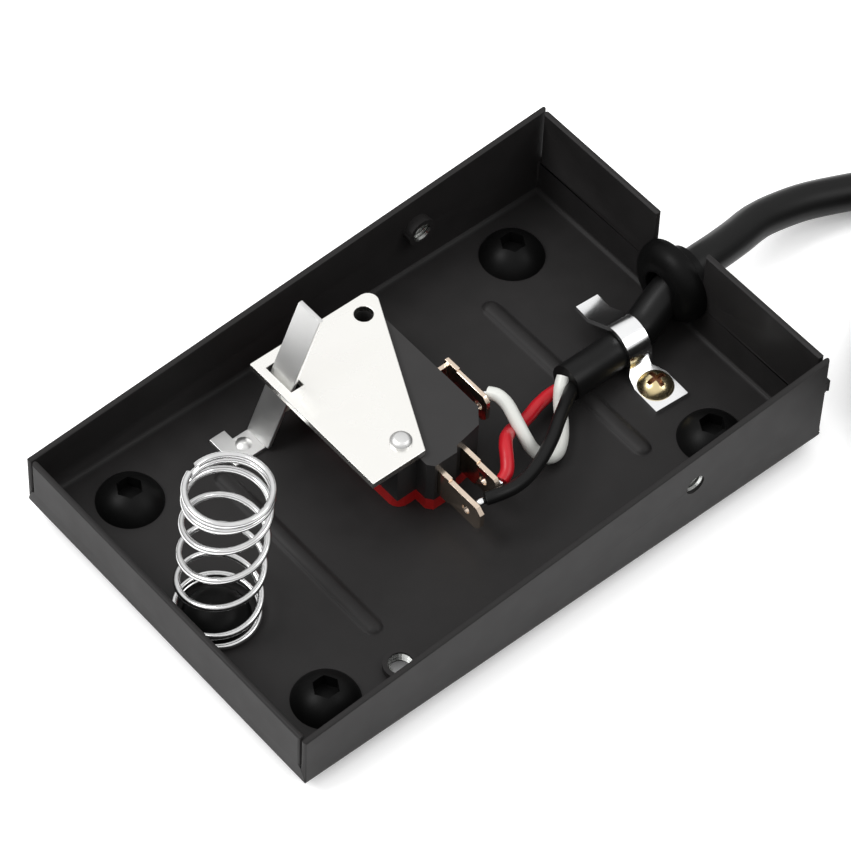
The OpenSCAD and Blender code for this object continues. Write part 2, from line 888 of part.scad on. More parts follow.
module leaf_foot() {
    y_low = leaf_y - leaf_w / 2 + 0.6;
    color([0.75, 0.75, 0.75])
        difference() {
            union() {
                translate([leaf_foot_step, y_low, floor_z])
                    cube([leaf_heel_x - leaf_foot_step, leaf_w - 0.6, leaf_t]);
                translate([leaf_foot_end, y_low, floor_z])
                    cube([leaf_foot_step - leaf_foot_end + eps, 6.4, leaf_t]);
            }
            upright(leaf_rivet_at, leaf_rivet_r + fit_gap, 0, floor_z + 2 * leaf_t);
        }
}

module leaf_rivet() {
    color([0.8, 0.8, 0.8]) {
        upright(leaf_rivet_at, leaf_rivet_r, under_z - rivet_foot_h,
            floor_z + leaf_t + eps);
        upright(leaf_rivet_at, leaf_rivet_r + 0.5, under_z - rivet_foot_h, under_z);
        translate([leaf_rivet_at[0], leaf_rivet_at[1], floor_z + leaf_t])
            cap(leaf_rivet_r + 0.4, 0.5);
    }
}

// --- Clamp and screw ---

// End view of the saddle strap: a foot on the floor, an arch over the lead and
// a free wing that slopes down from the arch
module strap_side() {
    outer = arch_r + strap_t;
    middle = [arch_y, arch_z];
    wing_end = [arch_y + outer + wing_l, floor_z + wing_lift + strap_t];
    touch = tangent_point(wing_end, middle, outer);
    inside = touch + 0.2 * unit(touch - wing_end);
    inward = (middle - touch) * strap_t / outer;
    translate([strap_near, floor_z])
        square([arch_y - arch_r - strap_near, strap_t]);
    translate([arch_y - outer, floor_z])
        square([strap_t, arch_z - floor_z + eps]);
    polygon([wing_end, inside, inside + inward, wing_end + inward]);
    intersection() {
        difference() {
            translate(middle)
                circle(outer, $fn = 96);
            translate(middle)
                circle(arch_r, $fn = 96);
        }
        polygon([
            middle, middle - [2 * outer, 0],
            middle + [-2 * outer, 2 * outer],
            middle + [0, 2 * outer], middle + 2 * (touch - middle)
        ]);
    }
}

module cable_clamp() {
    foot_w = strap_w + 2;
    color([0.8, 0.82, 0.84])
        translate([clamp_at[0], clamp_at[1], 0])
            rotate([0, 0, clamp_turn])
                difference() {
                    union() {
                        along_x(0, strap_w)
                            strap_side();
                        translate([0, 0, floor_z])
                            linear_extrude(strap_t)
                                polygon([
                                    [-foot_w / 2, strap_near], [foot_w / 2, strap_near],
                                    [foot_w / 2, 1.2], [strap_w / 2, 4],
                                    [-strap_w / 2, 4], [-foot_w / 2, 1.2]
                                ]);
                    }
                    translate([0, 0, floor_z - 1])
                        cylinder(h = strap_t + 2, r = screw_r + fit_gap);
                }
}

module clamp_screw() {
    head_z = floor_z + strap_t;
    color([0.8, 0.68, 0.35])
        translate([clamp_at[0], clamp_at[1], 0])
            difference() {
                union() {
                    translate([0, 0, under_z - 1])
                        cylinder(h = head_z - under_z + 1 + eps, r = screw_r - fit_gap);
                    translate([0, 0, head_z])
                        cap(screw_head_r, screw_head_h);
                }
                for (turn = [clamp_turn, clamp_turn + 90])
                    translate([0, 0, head_z + screw_head_h - cross_depth])
                        rotate([0, 0, turn])
                            translate([-cross_l / 2, -cross_w / 2, 0])
                                cube([cross_l, cross_w, cross_depth + 1]);
            }
}

// --- Grommet, lead and cores ---

// Section: a domed flange inside, a neck in the notch and a short nose outside
module cable_grommet() {
    bore_r = lead_r + fit_gap;
    rim = 0.5;
    round_r = flange_r - lead_r - 0.9;
    dome_l = rim + round_r;
    color([0.03, 0.03, 0.03])
        translate([end_x, notch_y, under_z + grommet_z])
            rotate([0, 90, 0])
                rotate_extrude()
                    difference() {
                        union() {
                            square([nose_r, nose_out]);
                            translate([0, -sheet_t - eps])
                                square([notch_w / 2 - fit_gap, sheet_t + eps]);
                            translate([0, -sheet_t - rim])
                                square([flange_r, rim]);
                            translate([0, -sheet_t - dome_l])
                                square([flange_r - round_r, dome_l]);
                            translate([flange_r - round_r, -sheet_t - rim])
                                intersection() {
                                    circle(round_r);
                                    translate([0, -round_r])
                                        square([round_r, round_r + eps]);
                                }
                        }
                        translate([-1, -dome_l - sheet_t - 1])
                            square([bore_r + 1, dome_l + sheet_t + nose_out + 2]);
                    }
}

module core_white() {
    color([0.92, 0.92, 0.92])
        swept_tube(white_route, core_r, 8);
}

module core_red() {
    color([0.8, 0.05, 0.04])
        swept_tube(red_route, core_r, 8);
}

module core_black() {
    color([0.05, 0.05, 0.05])
        swept_tube(black_route, core_r, 8);
}

module lead_tube() {
    color([0.08, 0.08, 0.08])
        swept_tube(lead_route, lead_r, 10);
}

// The spare lead, put away as one coil of turns beside and on each other
module lead_coil() {
    color([0.08, 0.08, 0.08])
        translate([coil_at[0], coil_at[1], 0])
            difference() {
                cylinder(h = coil_layers * lead_d, r = coil_outer_r);
                translate([0, 0, -1])
                    cylinder(h = coil_layers * lead_d + 2, r = coil_inner_r);
            }
}

// The tail comes off the top of the coil's outer turn and down beside it
function tail_point(angle) =
    let (down = min(1, (tail_from - angle) / (tail_from - tail_down)))
    let (ease = down * down * (3 - 2 * down))
    let (out = tail_r - lead_d * (1 - sin(90 * ease)))
    [
        coil_at[0] + out * cos(angle), coil_at[1] + out * sin(angle),
        lead_r + lead_d * cos(90 * ease)
    ];

module lead_tail() {
    steps = 8;
    color([0.08, 0.08, 0.08])
        swept_tube([
            for (i = [0:steps]) tail_point(tail_from + (tail_to - tail_from) * i / steps)
        ], lead_r, 10);
}

// Two of the cores lie side by side on the surface and the third on them
function core_offset(i) = [
    [-core_r, core_r], [core_r, core_r], [0, core_r * (1 + sqrt(3))]
][i];

module bare_end(i) {
    steps = 3;
    turn = end_l / tail_r * 180 / PI;
    swept_tube([
        for (k = [0:steps])
            let (angle = tail_to - turn * k / steps)
            [
                coil_at[0] + (tail_r + core_offset(i)[0]) * cos(angle),
                coil_at[1] + (tail_r + core_offset(i)[0]) * sin(angle),
                core_offset(i)[1]
            ]
    ], core_r, 8);
}

module end_white() { color([0.92, 0.92, 0.92]) bare_end(0); }
module end_red() { color([0.8, 0.05, 0.04]) bare_end(1); }
module end_black() { color([0.05, 0.05, 0.05]) bare_end(2); }

// The tie goes round the whole bundle at one place
module lead_tie() {
    middle = [(coil_inner_r + coil_outer_r) / 2, 0];
    bundle_w = coil_outer_r - coil_inner_r + 2 * tie_t;
    color([0.1, 0.1, 0.1])
        translate([coil_at[0], coil_at[1], 0])
            rotate([0, 0, tie_angle])
                translate([middle[0] - bundle_w / 2, -tie_w / 2, 0])
                    difference() {
                        cube([bundle_w, tie_w, coil_layers * lead_d + tie_t]);
                        translate([tie_t, -1, -1])
                            cube([bundle_w - 2 * tie_t, tie_w + 2, coil_layers * lead_d + 1]);
                    }
}

base_tray();
foot_spring_back();
foot_spring_front();
foot_lead_back();
foot_lead_front();
spring_seat();
spring_coils();
spring_top();
switch_case();
switch_cover();
switch_plunger();
snap_blade();
terminal_common();
terminal_closed();
terminal_open();
switch_plate();
switch_rivet();
leaf_foot();
leaf_rivet();
leaf_blade();
cable_clamp();
clamp_screw();
cable_grommet();
core_white();
core_red();
core_black();
lead_tube();
lead_coil();
lead_tail();
lead_tie();
end_white();
end_red();
end_black();
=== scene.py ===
# %% [markdown]
# # An industrial foot switch, opened up
# A foot switch of this kind is a folded steel tray with a small snap-action
# switch in it. The pedal cover is off, so everything inside shows: the leaf
# that the pedal pushes, the return spring, the clamp and the three cores.
# The solids come ready from the CAD model. This script dresses them: it
# rounds their edges, draws the soft parts as curves, and mixes a finish for
# each material. Every length is in metres, and MM turns millimetres into
# metres.

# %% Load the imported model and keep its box
import bpy, bmesh, json, math
from mathutils import Matrix, Vector

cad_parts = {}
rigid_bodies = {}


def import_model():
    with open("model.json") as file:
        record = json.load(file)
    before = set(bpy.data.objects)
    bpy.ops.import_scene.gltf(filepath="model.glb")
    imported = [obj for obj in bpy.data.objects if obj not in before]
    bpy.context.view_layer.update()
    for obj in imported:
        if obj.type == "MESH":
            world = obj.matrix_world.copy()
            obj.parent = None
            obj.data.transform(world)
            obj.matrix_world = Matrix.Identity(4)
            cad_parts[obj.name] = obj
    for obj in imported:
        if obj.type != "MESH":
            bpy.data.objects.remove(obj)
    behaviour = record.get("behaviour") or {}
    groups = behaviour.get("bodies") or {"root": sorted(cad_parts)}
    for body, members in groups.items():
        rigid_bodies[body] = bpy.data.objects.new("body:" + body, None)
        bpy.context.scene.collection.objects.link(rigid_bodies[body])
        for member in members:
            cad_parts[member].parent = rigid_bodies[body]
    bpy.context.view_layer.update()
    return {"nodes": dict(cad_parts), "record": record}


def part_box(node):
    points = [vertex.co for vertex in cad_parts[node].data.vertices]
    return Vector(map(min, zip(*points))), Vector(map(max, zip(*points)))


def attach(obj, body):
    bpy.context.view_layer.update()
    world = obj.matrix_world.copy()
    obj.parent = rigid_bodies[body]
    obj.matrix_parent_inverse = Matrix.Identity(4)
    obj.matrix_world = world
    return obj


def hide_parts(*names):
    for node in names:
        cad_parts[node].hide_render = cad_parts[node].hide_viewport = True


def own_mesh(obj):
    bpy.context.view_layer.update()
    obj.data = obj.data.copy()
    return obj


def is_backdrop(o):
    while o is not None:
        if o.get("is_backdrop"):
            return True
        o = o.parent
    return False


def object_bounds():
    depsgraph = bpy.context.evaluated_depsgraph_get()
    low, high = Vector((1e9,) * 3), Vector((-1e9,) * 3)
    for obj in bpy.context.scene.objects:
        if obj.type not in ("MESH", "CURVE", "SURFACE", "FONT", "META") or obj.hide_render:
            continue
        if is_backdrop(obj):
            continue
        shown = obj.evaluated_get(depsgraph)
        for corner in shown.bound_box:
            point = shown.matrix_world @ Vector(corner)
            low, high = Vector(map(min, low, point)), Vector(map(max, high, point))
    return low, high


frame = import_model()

MM = 0.001

# %% [markdown]
# ## The camera
# The switch is seen from above its front corner through a long lens, which
# keeps the long edges almost parallel. The camera is placed by its angle
# round the tray, its height and a small roll, so the numbers say directly
# where a person with a camera would have stood.

# %% Camera
azimuth, elevation, roll = (math.radians(a) for a in (-41.915, 51.969, 2.407))
aim = Vector((5.424, 6.883, 2.0)) * MM
distance = 663.11 * MM
lens_length = 185.60534  # millimetres, on a sensor 36 mm wide
back = Vector((math.sin(azimuth) * math.cos(elevation),
               -math.cos(azimuth) * math.cos(elevation), math.sin(elevation)))
level_right = (-back).cross(Vector((0, 0, 1))).normalized()
level_up = level_right.cross(-back)
right = level_right * math.cos(roll) + level_up * math.sin(roll)
up = level_up * math.cos(roll) - level_right * math.sin(roll)
stand = aim + back * distance
camera = bpy.data.objects.new("camera", bpy.data.cameras.new("camera"))
bpy.context.scene.collection.objects.link(camera)
camera.matrix_world = Matrix(((right.x, up.x, back.x, stand.x),
                              (right.y, up.y, back.y, stand.y),
                              (right.z, up.z, back.z, stand.z),
                              (0, 0, 0, 1)))
camera.data.sensor_width = 36
camera.data.lens = lens_length
camera.data.clip_start = 0.05
bpy.context.scene.camera = camera
print("camera stands", round(stand.z, 3), "m over the floor")

# %% [markdown]
# ## The lead
# The lead is a round black cable of 6 mm. It leaves the grommet, drops to
# the floor in one lazy bend and runs out of the camera's view. The rest is
# wound into a tidy coil there, as it would be on a shelf. A cable has one
# fixed length, so its path is one line from end to end, drawn as two pieces
# split at the grommet. A smooth line is laid through a few given points,
# and the coil is worked out turn by turn.

# %% A smooth line through points
def smooth_line(points, steps):
    """Points of a Catmull-Rom line, steps to each gap."""
    before = 2 * points[0] - points[1]
    after = 2 * points[-1] - points[-2]
    ends = [before] + list(points) + [after]
    line = []
    for a, b, c, d in zip(ends, ends[1:], ends[2:], ends[3:]):
        for i in range(steps):
            t = i / steps
            line.append(0.5 * ((2 * b) + (c - a) * t
                               + (2 * a - 5 * b + 4 * c - d) * t * t
                               + (3 * b - a - 3 * c + d) * t ** 3))
    return line + [points[-1].copy()]


def in_metres(points):
    return [Vector(p) * MM for p in points]


def line_length(line):
    return sum((b - a).length for a, b in zip(line, line[1:]))


corner = in_metres([(0, 0, 0), (10, 0, 0), (10, 10, 0)])
print("a 20 mm corner, smoothed:", round(line_length(smooth_line(corner, 8)) / MM, 1))

# %% A tube drawn along a line
def tube(name, line, radius, body="base", sides=6):
    """A curve of one open spline with a round section and closed ends."""
    data = bpy.data.curves.new(name, "CURVE")
    data.dimensions = "3D"
    data.bevel_depth = 1.0
    data.bevel_resolution = sides
    data.use_fill_caps = True
    spline = data.splines.new("POLY")
    spline.points.add(len(line) - 1)
    for point, place in zip(spline.points, line):
        point.co = (*place, 1)
        point.radius = radius
    piece = bpy.data.objects.new(name, data)
    bpy.context.scene.collection.objects.link(piece)
    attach(piece, body)
    return piece


print("a tube's section is one metre in radius, scaled at each point")

# %% The lead's route inside and outside the tray
lead_r = 3 * MM
wall_at = 51.6 * MM
route = in_metres([
    (24.6, -3.2, 7), (28, -3.1, 6.8), (32.5, -2.8, 6.3), (37, -2.4, 6.2),
    (41, -1.8, 6.5), (45.5, -1, 8.7), (50, -0.5, 10.6), (54, -0.3, 10.8),
    (58, 0.2, 10), (63, 1.1, 8.8), (68.5, 2.2, 7.6), (74, 2.2, 6.4),
    (79.5, 1.4, 5.4), (87, -0.9, 4.2), (94, -3.6, 3.4), (101, -7.6, 3.1),
    (108, -12.6, 3.1), (113, -16.4, 3.1), (117.8, -20.1, 3.1)])
whole = smooth_line(route, 3)
leaves_at = min(range(len(whole)), key=lambda i: abs(whole[i].x - wall_at))
inner_line, outer_line = whole[:leaves_at + 1], whole[leaves_at:]
print("inside the tray:", round(line_length(inner_line) / MM), "mm of lead")

# %% [markdown]
# The coil has two layers of three turns. A turn keeps its radius for most
# of the way round, and then steps across to the next turn, or up to the
# next layer, over the last part of it. The tail follows the outermost turn
# and comes down beside it to the floor.

# %% The coil, worked out in degrees and millimetres
coil_centre = Vector((95, -48, 0)) * MM
radii = [36, 30, 24, 24, 30, 36]  # turn by turn: three below, three on top
points_a_turn = 40
enter = 50.7  # the direction, from the centre, in which the lead comes in
change = 110  # how long a turn takes to step across to the next
lead_d = 6


def ease(t):
    """Goes from 0 to 1 with a soft start and a soft end."""
    t = min(1, max(0, t))
    return t * t * (3 - 2 * t)


def round_centre(angle, radius, height):
    """A point round the coil's centre, from degrees and millimetres."""
    angle = math.radians(angle)
    return coil_centre + Vector((radius * math.cos(angle),
                                 radius * math.sin(angle), height)) * MM


def coil_point(turned):
    """A point of the coil after so many degrees, wound clockwise."""
    last = len(radii) - 1
    turn = min(int(turned // 360), last)
    late = ease((turned - turn * 360 - (360 - change)) / change)
    follow = radii[min(turn + 1, last)]
    radius = radii[turn] + (follow - radii[turn]) * late
    layer = 0 if turn < 2 else late if turn == 2 else 1
    return round_centre(enter - turned, radius, lead_d / 2 + lead_d * layer)


coil_line = [coil_point(360 * i / points_a_turn)
             for i in range(1, len(radii) * points_a_turn + 1)]
print("coil:", len(radii), "turns,", round(line_length(coil_line), 3), "m")

# %% The tail comes down beside the coil and lies on the floor
tail_end, tail_steps = -35, 14
drop_from, drop_over = 46, 62  # degrees: where it starts to sink, and how far
tail_line = []
for i in range(1, tail_steps + 1):
    angle = enter + (tail_end - enter) * i / tail_steps
    down = math.pi / 2 * ease((drop_from - angle) / drop_over)
    tail_line.append(round_centre(angle, radii[-1] + lead_d * math.sin(down),
                                   lead_d / 2 + lead_d * math.cos(down)))
free_line = outer_line + coil_line + tail_line

# %% Draw the lead as two pieces, inside and outside the grommet
lead_inner = tube("lead_inner", inner_line, lead_r, sides=8)
lead_cord = tube("lead_cord", free_line, lead_r, sides=6)
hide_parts("lead_tube")
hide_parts("lead_tube", "lead_coil", "lead_tail")
print("lead pieces:", lead_inner.name, lead_cord.name)

# %% [markdown]
# The far end is cut square and stripped, as such a lead is sold: three
# insulated cores come out of it, each with a few millimetres of bare
# stranded copper. Two lie on the floor side by side and the third rests on
# them.

# %% Bare cores at the far end
core_r = 1.05 * MM
cores_turn, cores_steps, bare_from = 34.1, 8, 6  # bare from the sixth step on
end_cores = {}
for name, slot, sideways, high in (
        ("end_white", "pvc_white", -1, 1), ("end_red", "pvc_red", 1, 1),
        ("end_black", "pvc_black", 0, 1 + math.sqrt(3))):
    line = [round_centre(tail_end - cores_turn * i / cores_steps,
                          radii[-1] + lead_d + sideways * core_r / MM,
                          high * core_r / MM)
            for i in range(cores_steps + 1)]
    end_cores[name] = tube(name + "_core", line[:bare_from + 1], core_r,
                           sides=4)
    end_cores[name + "_wire"] = tube(name + "_wire", line[bare_from:],
                                     core_r * 0.62, sides=3)
    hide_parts(name)
print("core ends:", sorted(end_cores))

# %% [markdown]
# ## Finishes
# Each finish is a small node network on the Principled shader. A real
# surface is never one flat colour: paint has a faint orange-peel, plating
# has fine streaks, rubber and PVC are a little blotchy. So every finish
# varies its colour and roughness with noise, and adds a shallow bump. The
# noise reads Object coordinates, so its scale is in real metres.

# %% One helper mixes every finish
def finish(name, low, high, rough, metal=0.0, grain=900.0, relief=0.05,
           depth=0.00002, specular=0.5):
    """Two colours blended by noise, with matching roughness and bump."""
    material = bpy.data.materials.new(name)
    material.use_nodes = True
    nodes, links = material.node_tree.nodes, material.node_tree.links
    shader = nodes["Principled BSDF"]
    where = nodes.new("ShaderNodeTexCoord")
    blotches = nodes.new("ShaderNodeTexNoise")
    blotches.inputs["Scale"].default_value = grain / 6
    blotches.inputs["Detail"].default_value = 6
    links.new(where.outputs["Object"], blotches.inputs["Vector"])
    # A colour Mix node: 0 is the factor, 6 and 7 the colours, 2 the result.
    blend = nodes.new("ShaderNodeMix")
    blend.data_type = "RGBA"
    blend.inputs[6].default_value = (*low, 1)
    blend.inputs[7].default_value = (*high, 1)
    links.new(blotches.outputs["Fac"], blend.inputs[0])
    links.new(blend.outputs[2], shader.inputs["Base Color"])
    shine = nodes.new("ShaderNodeMapRange")
    spread = 0.08
    shine.inputs["To Min"].default_value = rough - spread
    shine.inputs["To Max"].default_value = rough + spread
    links.new(blotches.outputs["Fac"], shine.inputs["Value"])
    links.new(shine.outputs["Result"], shader.inputs["Roughness"])
    fine = nodes.new("ShaderNodeTexNoise")
    fine.inputs["Scale"].default_value = grain
    fine.inputs["Detail"].default_value = 3
    links.new(where.outputs["Object"], fine.inputs["Vector"])
    bump = nodes.new("ShaderNodeBump")
    bump.inputs["Strength"].default_value = relief
    bump.inputs["Distance"].default_value = depth
    links.new(fine.outputs["Fac"], bump.inputs["Height"])
    links.new(bump.outputs["Normal"], shader.inputs["Normal"])
    shader.inputs["Metallic"].default_value = metal
    shader.inputs["Specular IOR Level"].default_value = specular
    return material


print("the grain is a noise scale: 1000 makes specks of about a millimetre")

# %% The finishes of this switch
finishes = {
    "painted_steel": finish("black powder coat", (0.0115, 0.0108, 0.0108),
                            (0.0190, 0.0178, 0.0178), 0.54, grain=1500,
                            relief=0.2, specular=0.22),
    "rubber_black": finish("moulded rubber", (0.0025, 0.0025, 0.0025),
                           (0.0045, 0.0045, 0.0045), 0.42, grain=1200, relief=0.1,
                           specular=0.09),
    "spring_wire": finish("drawn spring wire", (0.62, 0.62, 0.62),
                          (0.80, 0.80, 0.80), 0.16, metal=1, grain=2500),
    "plastic_black": finish("black phenolic", (0.022, 0.021, 0.021),
                            (0.030, 0.029, 0.029), 0.5, grain=1400, relief=0.15,
                            specular=0.3),
    "plastic_red": finish("red cover plastic", (0.34, 0.008, 0.009),
                          (0.46, 0.014, 0.013), 0.38, grain=1200),
    "plastic_ivory": finish("ivory plunger plastic", (0.72, 0.69, 0.58),
                            (0.80, 0.78, 0.68), 0.4),
    "terminal_brass": finish("tinned brass blade", (0.66, 0.52, 0.41),
                             (0.82, 0.70, 0.58), 0.2, metal=1, grain=2000),
    "blade_copper": finish("bare copper", (0.55, 0.26, 0.15),
                           (0.75, 0.40, 0.24), 0.3, metal=1, grain=3000),
    "nickel_plate": finish("bright nickel", (0.92, 0.91, 0.87),
                           (0.97, 0.96, 0.93), 0.27, metal=1, grain=700,
                           relief=0.03),
    "zinc_plate": finish("bright zinc", (0.82, 0.83, 0.84), (0.96, 0.96, 0.96),
                         0.15, metal=1, grain=1600, relief=0.08),
    "zinc_yellow": finish("yellow zinc", (0.62, 0.48, 0.22), (0.88, 0.78, 0.52),
                          0.26, metal=1, grain=1000),
    "pvc_black": finish("black sheath", (0.004, 0.004, 0.004),
                        (0.008, 0.008, 0.008), 0.40, grain=900, relief=0.12,
                        specular=0.18),
    "pvc_white": finish("white insulation", (0.60, 0.61, 0.58),
                        (0.70, 0.71, 0.67), 0.38, grain=1200),
    "pvc_red": finish("red insulation", (0.40, 0.006, 0.012),
                      (0.52, 0.010, 0.020), 0.32, grain=1200, specular=0.35),
    "nylon_black": finish("black nylon", (0.010, 0.010, 0.010),
                          (0.016, 0.016, 0.016), 0.4),
}
satin = finish("satin nickel", (0.62, 0.62, 0.615), (0.76, 0.76, 0.75), 0.42,
               metal=1, grain=1400, relief=0.35, depth=0.00003)
tapped = finish("tapped steel", (0.42, 0.43, 0.42), (0.66, 0.67, 0.65), 0.24,
                metal=1, grain=3000)
# painted shade and reflection: the screw's cross recess is coloured darker and browner
# than the zinc round it, standing in for shade and a copper-ish reflection in the hollow
cross_shade = finish("painted cross shade", (0.10, 0.035, 0.018), (0.20, 0.085, 0.045), 0.42,
                metal=0.6, grain=3000)
own_finish = {"leaf_foot": satin, "leaf_blade": satin, "leaf_rivet": satin}
print(len(finishes) + 3, "finishes")

# %% [markdown]
# ## Rounded copies of the solids
# A CAD solid has razor edges, and a real folded or moulded piece never
# has: its edges carry a thin line of light. So each visible solid gets a
# merged copy whose sharp edges are bevelled by a tenth or two of a
# millimetre. The copy then stands for its solid.

# %% Make a piece from a bmesh
slot_of = {part["node"]: part["material_slot"]
           for part in frame["record"]["subparts"]}
body_of = {node: body
           for body, nodes in frame["record"]["behaviour"]["bodies"].items()
           for node in nodes}


def piece_from(bm, name, material, body="base", smooth=True, sharp=None):
    """A piece that rides on a body; edges over sharp degrees stay crisp."""
    mesh = bpy.data.meshes.new(name)
    bm.to_mesh(mesh)
    bm.free()
    if smooth:
        for polygon in mesh.polygons:
            polygon.use_smooth = True
    if sharp:
        mesh.set_sharp_from_angle(angle=math.radians(sharp))
    mesh.materials.append(material)
    piece = bpy.data.objects.new(name, mesh)
    bpy.context.scene.collection.objects.link(piece)
    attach(piece, body)
    return piece


print("solids on each body:", {body: list(body_of.values()).count(body)
                               for body in sorted(set(body_of.values()))})

# %% Copy, merge, bevel
def round_edges(bm, width, segments=2, sharp=32, longer_than=0.0, clamp=True):
    """Bevels the edges that turn by more than sharp degrees."""
    edges = [e for e in bm.edges if len(e.link_faces) == 2
             and e.calc_face_angle(0) > math.radians(sharp)
             and e.calc_length() > longer_than]
    bmesh.ops.bevel(bm, geom=edges, offset=width, offset_type="OFFSET",
                    segments=segments, profile=0.5, affect="EDGES",
                    clamp_overlap=clamp, material=-1)
    return len(edges)


def rounded_copy(node, width, reshape=None):
    """A copy of a CAD node with its sharp edges bevelled by width."""
    bm = bmesh.new()
    bm.from_mesh(frame["nodes"][node].data)
    bmesh.ops.remove_doubles(bm, verts=bm.verts, dist=2e-6)
    bmesh.ops.dissolve_limit(bm, angle_limit=math.radians(1), verts=bm.verts,
                             edges=bm.edges)
    bmesh.ops.triangulate(bm, faces=[f for f in bm.faces if len(f.verts) > 4])
    if reshape:
        reshape(bm)
    if width:
        round_edges(bm, width)
    piece = piece_from(bm, node + "_form",
                       own_finish.get(node, finishes[slot_of[node]]),
                       body_of[node], sharp=22)
    even = piece.modifiers.new("even shading", "WEIGHTED_NORMAL")
    even.keep_sharp = True
    even.weight = 100
    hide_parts(node)
    return piece


print("a bevel narrows where a neighbour is close, unless clamp is off")

# %% [markdown]
# Three pieces need more than a bevel. The rim of the folded tray is
# deburred after shearing. The tie is soft, so it hugs the round turns under
# it. The saddle clamp is one stamped strap whose free end is pressed level.

# %% Shapes that a bevel alone doesn't give
def round_rim(bm):
    """The sheared rim of the walls is deburred, so it is nearly half round."""
    count = round_edges(bm, 0.4 * MM, segments=4, longer_than=5 * MM, clamp=False)
    print("rim edges:", count)


def round_tie(bm):
    """Rounds the tie's long corners, so that it hugs the outer turns."""
    tie_angle = math.radians(-100)
    across = Matrix.Rotation(tie_angle, 3, "Z") @ Vector((0, 1, 0))
    low, high = (Vector(point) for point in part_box("lead_tie"))
    upper = []
    for edge in bm.edges:
        start, end = (v.co for v in edge.verts)
        if (abs((start - end).normalized().dot(across)) > 0.99
                and start.z > (low.z + high.z) / 2):
            upper.append(edge)
    outer = [e for e in upper if e.verts[0].co.z > high.z - 0.1 * MM]
    inner = [e for e in upper if e not in outer]
    for edges, offset in ((outer, 3.6 * MM), (inner, 2.6 * MM)):
        bmesh.ops.bevel(bm, geom=edges, offset=offset, offset_type="OFFSET",
                        segments=8, profile=0.5, affect="EDGES", material=-1)


def level_wing(bm):
    """Bends the clamp's free wing flat, seen along the strap."""
    screw_at, strap_turn = Vector((36.7, -10.2, 0)) * MM, math.radians(-3)
    bend_at, end_at = 14.3 * MM, 17.2 * MM
    into = (Matrix.Rotation(-strap_turn, 4, "Z")
            @ Matrix.Translation(-screw_at))
    bmesh.ops.transform(bm, verts=bm.verts, matrix=into)
    bmesh.ops.bisect_plane(bm, geom=bm.verts[:] + bm.edges[:] + bm.faces[:],
                           plane_co=(0, bend_at, 0), plane_no=(0, 1, 0))
    top_at_bend = max(v.co.z for v in bm.verts if abs(v.co.y - bend_at) < 1e-6)
    tip = [v for v in bm.verts if v.co.y > bend_at + 1e-6]
    top_at_tip = max(v.co.z for v in tip)
    for v in tip:
        v.co.z += top_at_bend - top_at_tip
        v.co.y = bend_at + min(v.co.y - bend_at, end_at - bend_at)
    bmesh.ops.transform(bm, verts=bm.verts, matrix=into.inverted())


reshapes = {"base_tray": round_rim, "lead_tie": round_tie,
            "cable_clamp": level_wing}
print("reshaped:", sorted(reshapes))

# %% Edge widths, piece by piece
edge_width = {
    "base_tray": 0.1, "switch_case": 0.14, "switch_cover": 0.14,
    "switch_plate": 0.14, "leaf_foot": 0.1, "leaf_blade": 0.12,
    "cable_clamp": 0.12, "clamp_screw": 0.06, "terminal_common": 0.12,
    "terminal_closed": 0.12, "terminal_open": 0.12, "foot_spring_back": 0.18,
    "foot_spring_front": 0.18, "foot_lead_back": 0.18, "foot_lead_front": 0.18,
    "spring_seat": 0, "cable_grommet": 0.12, "switch_rivet": 0.06,
    "leaf_rivet": 0.05, "lead_tie": 0.2,
}
forms = {node: rounded_copy(node, width * MM, reshapes.get(node))
         for node, width in edge_width.items()}
for node, form in forms.items():
    print(node, len(form.data.polygons), "faces")

# %% The cross in the clamp's screw gets painted shade: a darker, browner finish than the dome round it
screw = forms["clamp_screw"]
screw.data.materials.append(cross_shade)
screw_low, screw_high = (Vector(point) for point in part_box("clamp_screw"))
screw_turn = Matrix.Rotation(math.radians(3), 3, "Z")
arm_l, arm_w = 1.64 * MM, 0.43 * MM  # half the cross's length and its width
shallow, bottom = 0.55 * MM, 1.3 * MM
shaded_faces = 0
# the faces down in the cross take the painted shade finish
for polygon in screw.data.polygons:
    seen = screw_turn @ (polygon.center - (screw_low + screw_high) / 2)
    arm, side = sorted((abs(seen.x), abs(seen.y)), reverse=True)
    deep = screw_high.z - polygon.center.z
    if arm < arm_l and side < arm_w and shallow < deep < bottom:
        polygon.material_index = 1
        shaded_faces += 1
print("faces inside the cross:", shaded_faces)

# %% [markdown]
# ## The return spring
# The spring is one length of hard wire, closed at both ends and open in
# between, and it leans a little because nothing holds its top. The coils
# are drawn along a helix and made a mesh; the pedal presses on the top
# ring. The height at each whole turn is given, and a smooth line through
# those heights gives the climb in between.

# %% Spring coils
wire_r, coil_r = 0.525 * MM, 6.275 * MM  # coil_r runs to the wire's middle
spring_foot = Vector((-41.3, -1.3, 3)) * MM
free_h, lean, travel = 28.4 * MM, 2.6 * MM, 14 * MM
whole_turns_face = math.radians(228)
heights = [0.525, 0.525, 3.0, 9.5, 15.6, 22.1, 26.6, 27.6]  # a whole turn apart
climb = smooth_line([Vector((turn, height * MM, 0))
                     for turn, height in enumerate(heights)], 48)
first, last = 16, -15  # each end of the wire is a third of a turn short


def spring_point(turn, height):
    """A point of the helix; whole turns face the tray's front corner."""
    middle = lean * height / (free_h - 2 * wire_r)
    angle = whole_turns_face + 2 * math.pi * turn
    return spring_foot + Vector((middle + coil_r * math.cos(angle),
                                 coil_r * math.sin(angle),
                                 min(max(height, wire_r), free_h - 3 * wire_r)))


def as_mesh(piece):
    """Turns a curve piece into a mesh piece."""
    shape = bpy.data.meshes.new_from_object(
        piece.evaluated_get(bpy.context.evaluated_depsgraph_get()))
    made = bpy.data.objects.new(piece.name + "_mesh", shape)
    bpy.context.scene.collection.objects.link(made)
    bpy.data.objects.remove(piece)
    return made


